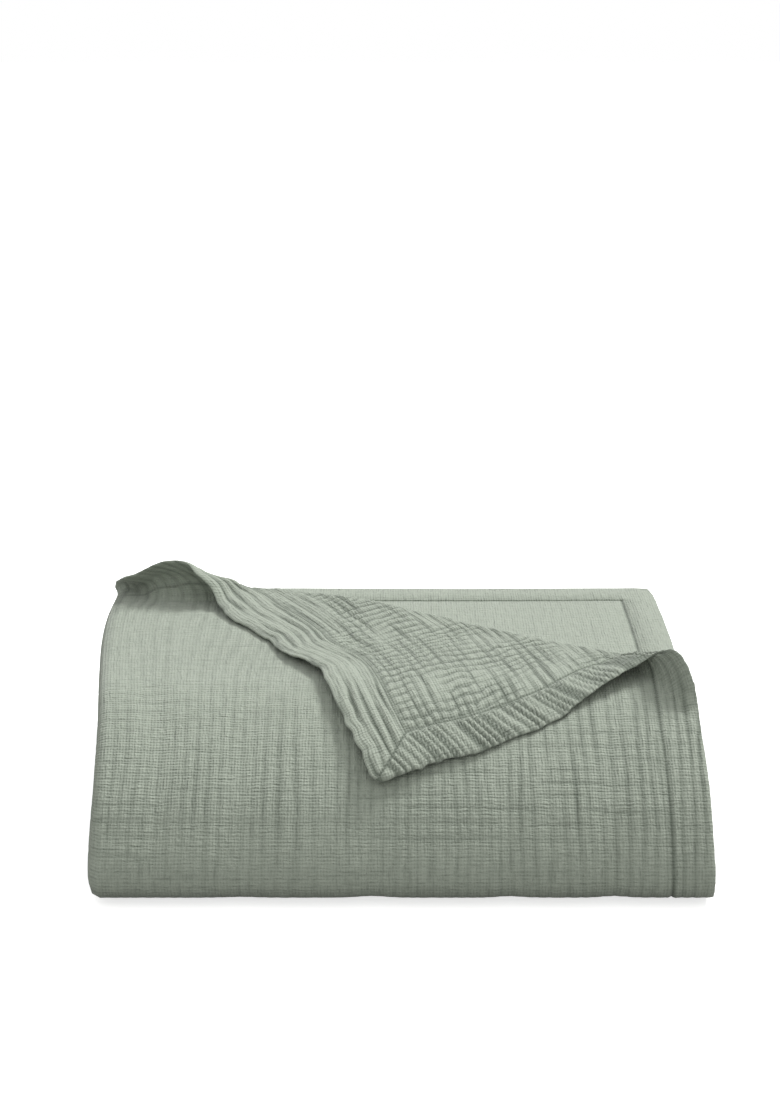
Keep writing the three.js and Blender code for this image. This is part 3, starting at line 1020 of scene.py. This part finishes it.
def to_mesh(model: bmesh.types.BMesh, name: str) -> bpy.types.Mesh:
    """Turns a model into a mesh of that name and frees the model."""
    mesh = bpy.data.meshes.new(name)
    model.to_mesh(mesh)
    model.free()
    return mesh


def coordinates(mesh: bpy.types.Mesh) -> Array:
    """Gives the x, y and z of a mesh's points, as three rows."""
    flat = np.empty(3 * len(mesh.vertices))
    mesh.vertices.foreach_get("co", flat)
    return flat.reshape(-1, 3).T


def placed(name: str, data: bpy.types.ID) -> bpy.types.Object:
    """Adds an object that holds these data to the scene."""
    made = bpy.data.objects.new(name, data)
    bpy.context.scene.collection.objects.link(made)
    return made


@dataclass(frozen=True)
class Sight:
    """How far the cloth can be seen round the turned corner.

    Its wrong side shows from before_axis on. Under the flap its right side shows mouth_depth past the axis,
    in the mouths of the roll at the right and the left. The ply below shows where the mirror image of the
    flap's edges, moved by what the roll takes up, leaves it free, and margin farther in; left_rim stays in
    sight beside the left fold. A rim is fine round_rim wide on both sides where one of them is seen.
    """

    before_axis: float = 12.0
    mouth_depth: float = 90.0
    right_mouth: float = 110.0
    left_mouth: float = 150.0
    taken_up: float = 32.0
    margin: float = 45.0
    left_rim: float = 40.0
    round_rim: float = 22.0


@dataclass(frozen=True)
class PaintedShade:
    """Painted shade from the depth of the relief, as a share of the hollows' colour, which is partly the
    thinner cloth; below zero is paler than a puff, and the wrong side's base below zero is painted light on
    the seen flap.
    """

    right_base: float = 0.1
    right_full_depth: float = 1.4
    wrong_base: float = -0.14
    wrong_per_depth: float = 0.54
    wrong_hem: Rise = Rise(0.16, 38, 30)
    least: float = -0.14

    def right(self, depth: Array, fine: Array) -> Array:
        """Gives the painted shade's shares on the right side."""
        return self.right_base * fine + depth / self.right_full_depth

    def wrong(self, depth: Array, fine: Array, across: Array) -> Array:
        """Gives the painted shade's shares on the wrong side, which is darker on its side hem; its base below
        zero is painted light.
        """
        return depth * (self.wrong_per_depth + self.wrong_hem.at(across)) + self.wrong_base * fine


@dataclass
class GauzeBlanket:
    """The blanket's cloth: one closed sheet on its folds, with crinkle, hems and rounded corners.

    cell is the side of the coarse mesh's squares and fine_cuts how often each is cut where the cloth is
    seen. The flat slab is 1 high; what lies within half_rim of its middle is the rim.
    """

    stack: FoldedStack = field(default_factory=FoldedStack)
    crinkle: Crinkle = field(default_factory=Crinkle)
    gauze: CottonGauze = field(default_factory=CottonGauze)
    sight: Sight = field(default_factory=Sight)
    painted_shade: PaintedShade = field(default_factory=PaintedShade)
    cell: float = 28.0
    fine_cuts: int = 12
    rim_cuts: int = 2
    half_rim: float = 0.4
    shortest_cut: float = 10.0
    seam_lines: tuple[float, ...] = (-1.3, 0.0, 1.3, 3.0)
    corner_radius: float = 9.0
    rim_bulge: float = 1.6
    corner_bulge: float = 0.7
    edge_wave: float = 1.3
    wave_width: float = 18.0
    plain_wave: float = 0.3
    corner_wave: Rise = Rise(0.7, 320, 230)
    side_wave: Pattern = Pattern(FINE, 1.0, math.inf, 6.5, (3, 0))
    end_wave: Pattern = Pattern(FINE, 1.0, 12, math.inf, (0, 50))
    right_seam: float = 1.7
    seam_to_front: Rise = Rise(-0.8, 80, 50)
    wrong_seam: float = 2.1
    hem_puff: float = 1.2
    hem_extra: float = 0.6
    hem_step: float = 4.0
    hem_flanks: tuple[float, float, float] = (1.0, 5.0, 9.0)
    rim_pinch: Rise = Rise(-0.2, 4, 0)
    lift_past_fold: float = 30.0
    foot: float = 1.0
    FLAT_MAP = "flat"
    THIN_AND_SHADE = "thin_and_shade"
    RELIEF = "relief"
    SIDE_FOLD_PARTS = (5, 5, 3, 5, 3)
    BUNDLE_PARTS = (4, 5, 4, 8, 4, 5, 4, 8, 4)

    def _run_cuts(self, runs: Sequence[Any], counts: Sequence[int], start: float) -> list[float]:
        """Gives where to cut the cloth so that each run falls into its count of parts."""
        cuts = []
        for run, count in zip(runs, counts):
            for number in range(1, count + 1):
                share = number / count
                along = run.length * share
                if isinstance(run, FrontWrap):
                    down = share if run.falling else 1 - share
                    length = run.wrap.lengths()[round(Wrap.SAMPLES * down)]
                    along = length if run.falling else run.length - length
                cuts.append(start + along)
            start += run.length
        return cuts

    def _hem_lines(self, hem: float) -> list[float]:
        """Gives the lines of the cloth's mesh from its edge to just past a hem."""
        seam = hem + self.crinkle.seam_offset
        return [0.0, hem / 2, hem, *(seam + off for off in self.seam_lines)]

    def _even_lines(self, start: float, end: float) -> Array:
        """Gives evenly spaced lines of the mesh, about a cell apart, after start and up to end."""
        return np.linspace(start, end, round((end - start) / self.cell) + 1)[1:]

    def columns(self) -> Array:
        """Gives the mesh lines across the cloth: fine ones on the first and the last ply."""
        stack, hem = self.stack, self._hem_lines(self.crinkle.side_hem)
        first = self._even_lines(hem[-1], stack.ply_width)
        folds = self._run_cuts(stack.across[1:6], self.SIDE_FOLD_PARTS, stack.ply_width)
        last = stack.width - first[::-1]
        return np.array([*hem, *first, *folds, *last[1:], *(stack.width - np.array(hem[::-1]))])

    def rows(self) -> Array:
        """Gives the mesh lines along the cloth: fine ones to the foot of the front."""
        stack, hem = self.stack, self._hem_lines(self.crinkle.end_hem)
        first = self._even_lines(hem[-1], stack.front_end)
        rest = self._run_cuts(stack.along[2:], self.BUNDLE_PARTS, stack.front_end)
        last = stack.length - hem[-1] - self.shortest_cut
        rest = [cut for cut in rest if cut < last]
        return np.array([*hem, *first, *rest, *(stack.length - np.array(hem[::-1]))])

    def _seen(self, across: float, along: float, side: Side) -> bool:
        """Tells whether a flat place on one side of the cloth can be seen from outside the stack.

        Args:
            across: The place across the cloth.
            along: The place along it.
            side: The side of the cloth.

        Returns:
            True where it can be seen.
        """
        stack, corner, sight = self.stack, self.stack.corner, self.sight
        if across > stack.ply_width + stack.across[1].length or along > stack.front_end + self.foot:
            return False
        x, y = (float(value) for value in stack.top_plane(np.array(across), np.array(along)))
        past = corner.past_axis(x, y, stack.right_x)
        if side is Side.WRONG:
            return past > -sight.before_axis
        if past > 0:
            in_mouth = across <= sight.right_mouth or across >= stack.ply_width - sight.left_mouth
            return past < sight.mouth_depth and in_mouth
        mirror = sight.taken_up - 2 * past
        from_right = stack.right_x - (x + mirror * math.sin(corner.angle))
        from_back = stack.top_end_y + corner.skew - (y + mirror * math.cos(corner.angle))
        return min(from_right, from_back) < sight.margin or across > stack.ply_width - sight.left_rim

    def _is_fine(self, face: bmesh.types.BMFace) -> bool:
        """Tells whether a face of the flat slab gets the fine relief."""
        across, along, up = face.calc_center_median()
        if abs(up) < self.half_rim:
            return False
        side = Side.RIGHT if up > 0 else Side.WRONG
        near_rim = min(across, self.stack.width - across, along) < self.sight.round_rim
        return self._seen(across, along, side) or (near_rim and self._seen(across, along, side.other))

    def _flat_slab(self) -> bmesh.types.BMesh:
        """Models the flat cloth as a slab from -0.5 to 0.5 in height, fine where it is seen."""
        columns, rows = self.columns(), self.rows()
        slab = bmesh.new()
        bmesh.ops.create_grid(slab, x_segments=len(columns) - 1, y_segments=len(rows) - 1, size=1.0)
        for vert in slab.verts:
            column = round((vert.co.x + 1) / 2 * (len(columns) - 1))
            row = round((vert.co.y + 1) / 2 * (len(rows) - 1))
            vert.co = (columns[column], rows[row], 0.5)
        bmesh.ops.solidify(slab, geom=slab.verts[:] + slab.edges[:] + slab.faces[:], thickness=1.0)
        fine = slab.faces.layers.int.new("fine")
        edges: set[bmesh.types.BMEdge] = set()
        for face in slab.faces:
            if self._is_fine(face):
                face[fine] = 1
                edges.update(edge for edge in face.edges if edge.calc_length() > self.shortest_cut)
        bmesh.ops.subdivide_edges(
            slab, edges=list(edges), cuts=self.fine_cuts, use_grid_fill=True, use_single_edge=True
        )
        upright = [edge for edge in slab.edges if edge.verts[0].co.z * edge.verts[1].co.z < 0]
        bmesh.ops.subdivide_edges(slab, edges=upright, cuts=self.rim_cuts, use_grid_fill=True)
        return slab

    def _to_rim(self, across: Array, along: Array) -> Arrays:
        """Gives how far flat points lie from the nearest side edge and from the nearest end edge."""
        stack = self.stack
        return np.minimum(across, stack.width - across), np.minimum(along, stack.length - along)

    def _rounded(self, across: Array, along: Array) -> Arrays:
        """Rounds the cloth's four corners, without moving anything farther in."""
        radius, stack = self.corner_radius, self.stack
        u, v = self._to_rim(across, along)
        right, up = np.clip(1 - u / radius, 0, 1), np.clip(1 - v / radius, 0, 1)
        corner = (right > 0) & (up > 0)
        scale = np.maximum(right, up) / np.where(corner, np.hypot(right, up), 1.0)
        u = np.where(corner, radius * (1 - right * scale), u)
        v = np.where(corner, radius * (1 - up * scale), v)
        u = np.where(across > stack.width / 2, stack.width - u, u)
        return u, np.where(along > stack.length / 2, stack.length - v, v)

    def _wavy(self, across: Array, along: Array) -> Arrays:
        """Scallops the cloth's edges where the crinkle draws them in."""
        to_side, to_end = self._to_rim(across, along)
        first, near = across < self.stack.width / 2, along < self.stack.length / 2
        share = np.where(first & near, self.plain_wave + self.corner_wave.at(along), self.plain_wave)
        wave = self.edge_wave * share
        side = wave * ramp(to_side, self.wave_width, 0) * self.side_wave.at(across, along)
        end = wave * ramp(to_end, self.wave_width, 0) * self.end_wave.at(across, along)
        return across + side * np.where(first, 1, -1), along + end * np.where(near, 1, -1)

    def _edged(self, across: Array, along: Array, rim: Array) -> Arrays:
        """Rounds and scallops the cloth's edges and lets the middle of its rim bulge."""
        on_side, on_end = (distance < MM for distance in self._to_rim(across, along))
        bulge = self.rim_bulge * rim * np.where(on_side & on_end, self.corner_bulge, 1.0)
        out_u = np.where(on_side, np.where(across < 1, -bulge, bulge), 0)
        out_v = np.where(on_end, np.where(along < 1, -bulge, bulge), 0)
        u, v = self._wavy(*self._rounded(across, along))
        return u + out_u, v + out_v

    def _depths(self, across: Array, along: Array, fine: Array) -> Arrays:
        """Gives how deep the relief lies below the envelope on the right side and on the wrong side."""
        crinkle, stack = self.crinkle, self.stack
        seams = crinkle.seams(across, along, stack.width, stack.length)
        right_seams = (self.right_seam + self.seam_to_front.at(along)) * seams
        right = np.maximum(crinkle.right_side(across, along) * fine, right_seams)
        return right, np.maximum(crinkle.wrong_side(across, along) * fine, self.wrong_seam * seams)

    def _puffed(self, distance: Array, hem: float) -> Array:
        """Gives 1 where a hem stands full, between its seam and its edge, at distances from the edge."""
        at_seam, inner, outer = self.hem_flanks
        return ramp(distance, hem + at_seam, hem - inner) * ramp(distance, 0, outer)

    def surfaces(self, across: Array, along: Array, fine: Array) -> Arrays:
        """Gives the heights of the right side and of the wrong side over the middle of the flat cloth.

        Args:
            across: Places across the cloth.
            along: Places along it.
            fine: 1 where the relief is modelled and 0 where it is left out.

        Returns:
            The two heights; the wrong side's are below zero.
        """
        stack, side_hem, end_hem = self.stack, self.crinkle.side_hem, self.crinkle.end_hem
        to_side, to_end = self._to_rim(across, along)
        hem = np.maximum(
            ramp(to_side, side_hem + self.hem_step, side_hem), ramp(to_end, end_hem + self.hem_step, end_hem)
        )
        band = np.maximum(self._puffed(to_side, side_hem), self._puffed(to_end, end_hem))
        seen_hem = self.hem_puff * band * ((across < stack.ply_width) & (along < stack.front_end))
        right_depth, wrong_depth = self._depths(across, along, fine)
        lifted = across < stack.ply_width + self.lift_past_fold
        lifted = lifted & (along < stack.front_end + self.foot)
        lift = self.crinkle.lift(across, along) * lifted
        half = stack.thickness / 2
        pinch = 1 + self.rim_pinch.at(np.minimum(to_side, to_end))
        top = (half - right_depth) * pinch
        bottom = -(half + self.hem_extra * hem + seen_hem * fine - wrong_depth) * pinch
        return lift + top, lift + bottom

    def mesh(self) -> bpy.types.Mesh:
        """Models the cloth flat, presses its relief in and folds it."""
        slab = self._flat_slab()
        fine_faces = slab.faces.layers.int["fine"]
        slab.verts.index_update()
        fine = np.zeros(len(slab.verts))
        for face in slab.faces:
            if face[fine_faces]:
                fine[[vert.index for vert in face.verts]] = 1
        mesh = to_mesh(slab, "cotton_gauze_sheet")
        across, along, up = coordinates(mesh)
        rim = np.abs(up) < self.half_rim
        fine[rim] = 1
        top, bottom = self.surfaces(across, along, fine)
        over = (top + bottom) / 2 + (top - bottom) * up
        points = self.stack.carry(*self._edged(across, along, rim), over)
        mesh.vertices.foreach_set("co", points.ravel())
        # painted shade: the deeper the relief, the darker the colour that the material draws there, partly as
        # the thinner cloth in the hollows
        right_depth, wrong_depth = self._depths(across, along, fine)
        right, wrong = self.painted_shade.right(right_depth, fine), self.painted_shade.wrong(wrong_depth, fine, across)
        thin_and_shade = np.clip(np.where(up > 0, right, wrong), self.painted_shade.least, 1)
        self._map(mesh, across, along)
        for name, values in ((self.THIN_AND_SHADE, thin_and_shade), (self.RELIEF, fine)):
            mesh.attributes.new(name, "FLOAT", "POINT").data.foreach_set("value", values.astype(np.float32))
        mesh.polygons.foreach_set("use_smooth", np.ones(len(mesh.polygons), bool))
        mesh.update()
        return mesh

    def _map(self, mesh: bpy.types.Mesh, across: Array, along: Array) -> None:
        """Adds the flat cloth's own map, in metres."""
        corners = np.empty(len(mesh.loops), int)
        mesh.loops.foreach_get("vertex_index", corners)
        flat = np.stack([across[corners], along[corners]], axis=1) * MM
        mesh.uv_layers.new(name=self.FLAT_MAP).uv.foreach_set("vector", flat.ravel().astype(np.float32))

    def build(self) -> bpy.types.Object:
        """Builds the cloth and dresses it in its gauze."""
        cloth = placed("gauze_cloth", self.mesh())
        cloth.data.materials.append(self.gauze.material())
        LOG.info("gauze_cloth: %d faces", len(cloth.data.polygons))
        return cloth


@dataclass(frozen=True)
class SewingThread:
    """Spun cotton-wrapped sewing thread, dyed with the cloth.

    Its twist gives it a soft gloss that the gauze lacks, so a stitch reads as a small pale dash. Its dye
    varies from stitch to stitch, in patches of about 6 mm.
    """

    name: str = "spun_cotton_sewing_thread"
    light_colour: str = "bcc4b6"
    dark_colour: str = "98a093"
    patches_per_metre: float = 160.0
    roughness: float = 0.6
    specular: float = 0.35

    def material(self) -> bpy.types.Material:
        """Builds the material; the thread's colour varies a little from stitch to stitch."""
        values = {"Roughness": self.roughness, "Specular IOR Level": self.specular}
        material, tree, shader = new_material(self.name, values)
        place = node(tree, "ShaderNodeTexCoord")
        values = {"Scale": self.patches_per_metre}
        dye = node(tree, "ShaderNodeTexNoise", {"Vector": (place, "Object")}, values)
        colours = {MIX_LOW: linear(self.light_colour), MIX_HIGH: linear(self.dark_colour)}
        mixed_colour = node(tree, "ShaderNodeMix", {0: (dye, "Fac")}, colours, data_type="RGBA")
        tree.links.new(mixed_colour.outputs[MIX_RESULT], shader.inputs["Base Color"])
        return material


@dataclass(frozen=True)
class StitchLine:
    """A straight run of stitches on one side of the flat cloth, from start to end (across, along)."""

    side: Side
    start: Pair
    end: Pair


@dataclass
class HemStitching:
    """The lockstitches that hold the hems, where they can be seen.

    Each stitch is a bead, lifted a little off the cloth. The stitch lines lie inside the hems' inner edges.
    """

    blanket: GauzeBlanket
    thread: SewingThread = field(default_factory=SewingThread)
    stitch: float = 3.0
    pitch: float = 4.3
    thickness: float = 0.65
    lifted: float = 0.1
    inside: float = 2.0
    corner_run: float = 330.0
    front_from: float = 275.0
    foot: float = 22.0
    top_from: float = 400.0
    low_side_run: float = 300.0
    low_end_run: float = 330.0

    def lines(self) -> list[StitchLine]:
        """Gives the visible runs: on the turned corner, down the front and on the ply below."""
        stack, crinkle = self.blanket.stack, self.blanket.crinkle
        side, end = crinkle.side_hem - self.inside, crinkle.end_hem - self.inside
        far = stack.width - side
        return [
            StitchLine(Side.WRONG, (side, end), (side, self.corner_run)),
            StitchLine(Side.WRONG, (side, end), (stack.ply_width, end)),
            StitchLine(Side.RIGHT, (side, self.front_from), (side, stack.front_end - self.foot)),
            StitchLine(Side.RIGHT, (self.top_from, end), (stack.ply_width, end)),
            StitchLine(Side.WRONG, (far, end), (far, self.low_side_run)),
            StitchLine(Side.WRONG, (far, end), (far - self.low_end_run, end)),
        ]

    def build(self) -> bpy.types.Object:
        """Models every stitch as a small bead on the flat cloth and folds them with it."""
        beads = bmesh.new()
        sides = []
        size = Matrix.Diagonal((self.stitch / 2, self.thickness / 2, self.thickness / 2, 1))
        for line in self.lines():
            start, way = Vector(line.start), Vector(line.end) - Vector(line.start)
            turn = Matrix.Rotation(math.atan2(way.y, way.x), 4, "Z")
            for number in range(int(way.length / self.pitch)):
                place = start + way.normalized() * self.pitch * (number + 0.5)
                matrix = Matrix.Translation((place.x, place.y, 0)) @ turn @ size
                made = bmesh.ops.create_uvsphere(beads, u_segments=6, v_segments=3, radius=1, matrix=matrix)
                sides += [line.side.value] * len(made["verts"])
        for face in beads.faces:
            face.smooth = True
        mesh = to_mesh(beads, "hem_stitching")
        across, along, up = coordinates(mesh)
        on = np.array(sides, float)
        top, bottom = self.blanket.surfaces(across, along, np.ones(len(across)))
        over = np.where(on > 0, top, bottom) + on * (up + self.lifted)
        mesh.vertices.foreach_set("co", self.blanket.stack.carry(across, along, over).ravel())
        mesh.update()
        stitching = placed("hem_stitching", mesh)
        mesh.materials.append(self.thread.material())
        LOG.info("hem_stitching: %d faces", len(mesh.polygons))
        return stitching


@dataclass(frozen=True)
class Studio:
    """A plain pale floor, a softbox behind on the right, a white ceiling and the camera of the picture.

    The floor is matt white paper. It throws less light up than the camera sees on it, and it glows a little
    for the camera alone; the sky too is white for the camera alone.
    """

    floor_size: float = 60.0
    floor_gap: float = 0.4 * MM
    floor_colour: str = "f0f0ef"
    floor_bounce: str = "9c9c9a"
    floor_glow: float = 0.7
    floor_roughness: float = 0.9
    floor_specular: float = 0.1
    light_angle: float = math.radians(18)
    light_from: tuple[float, float, float] = (0.65, 0.6, 0.9)
    light_strength: float = 2.7
    ceiling_angle: float = math.radians(120)
    ceiling_from: tuple[float, float, float] = (0.0, -0.35, 1.0)
    ceiling_strength: float = 1.42
    sky: float = 0.25
    camera_place: tuple[float, float, float] = (0.00056, -1.7738, 0.800)
    camera_dip: float = math.radians(16.7)
    lens: float = 58.48
    sensor: float = 36.0
    WHITE = (1, 1, 1, 1)

    def floor(self) -> bpy.types.Object:
        """Lays the floor just under the blanket."""
        flat = bmesh.new()
        bmesh.ops.create_grid(flat, x_segments=1, y_segments=1, size=self.floor_size / 2)
        bmesh.ops.translate(flat, verts=flat.verts[:], vec=(0, 0, -self.floor_gap))
        floor = placed("studio_floor", to_mesh(flat, "studio_floor"))
        values = {"Roughness": self.floor_roughness, "Specular IOR Level": self.floor_specular}
        values |= {"Emission Color": self.WHITE}
        paper, tree, shader = new_material("matt_white_paper", values)
        by_camera = {0: (node(tree, "ShaderNodeLightPath"), "Is Camera Ray")}
        colours = {MIX_LOW: linear(self.floor_bounce), MIX_HIGH: linear(self.floor_colour)}
        shown = node(tree, "ShaderNodeMix", by_camera, colours, data_type="RGBA")
        tree.links.new(shown.outputs[MIX_RESULT], shader.inputs["Base Color"])
        glow = node(tree, "ShaderNodeMath", by_camera, {1: self.floor_glow}, operation="MULTIPLY")
        tree.links.new(glow.outputs[0], shader.inputs["Emission Strength"])
        floor.data.materials.append(paper)
        return floor

    def light(self) -> None:
        """Sets the softbox, the light from the ceiling and a pale sky."""
        world = bpy.data.worlds.new("pale_sky")
        world.use_nodes = True
        tree = world.node_tree
        sky = tree.nodes["Background"]
        sky.inputs["Color"].default_value = self.WHITE
        sky.inputs["Strength"].default_value = self.sky
        white = node(tree, "ShaderNodeBackground", values={"Color": self.WHITE})
        path = node(tree, "ShaderNodeLightPath")
        shown = node(tree, "ShaderNodeMixShader", {0: (path, "Is Camera Ray"), 1: sky, 2: white})
        tree.links.new(shown.outputs[0], tree.nodes["World Output"].inputs["Surface"])
        bpy.context.scene.world = world
        self._lamp("back_right_softbox", self.light_from, self.light_angle, self.light_strength)
        self._lamp("white_ceiling", self.ceiling_from, self.ceiling_angle, self.ceiling_strength)

    @staticmethod
    def _lamp(name: str, place: tuple[float, float, float], angle: float, strength: float) -> None:
        """Sets a soft light that shines from its place towards the blanket."""
        lamp = bpy.data.lights.new(name, "SUN")
        lamp.angle = angle
        lamp.energy = strength
        holder = placed(name, lamp)
        holder.location = place
        holder.rotation_euler = Vector(place).to_track_quat("Z", "Y").to_euler()

    def camera(self) -> None:
        """Sets the camera where the picture was taken from."""
        camera = bpy.data.cameras.new("picture_camera")
        camera.sensor_width = self.sensor
        camera.lens = self.lens
        holder = placed("picture_camera", camera)
        holder.location = self.camera_place
        holder.rotation_euler = (math.pi / 2 - self.camera_dip, 0, 0)
        bpy.context.scene.camera = holder


def main() -> None:
    """Loads the frame, builds the blanket in it and sets up the studio."""
    logging.basicConfig(level=logging.INFO, format="%(name)s: %(message)s")
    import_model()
    blanket = GauzeBlanket()
    cloth = blanket.build()
    stitching = HemStitching(blanket).build()
    for piece in (cloth, stitching):
        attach(piece, "root")
    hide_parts("blanket")
    studio = Studio()
    floor = studio.floor()
    studio.light()
    studio.camera()
    bpy.context.scene.view_settings.view_transform = "Standard"


if __name__ == "__main__":
    main()
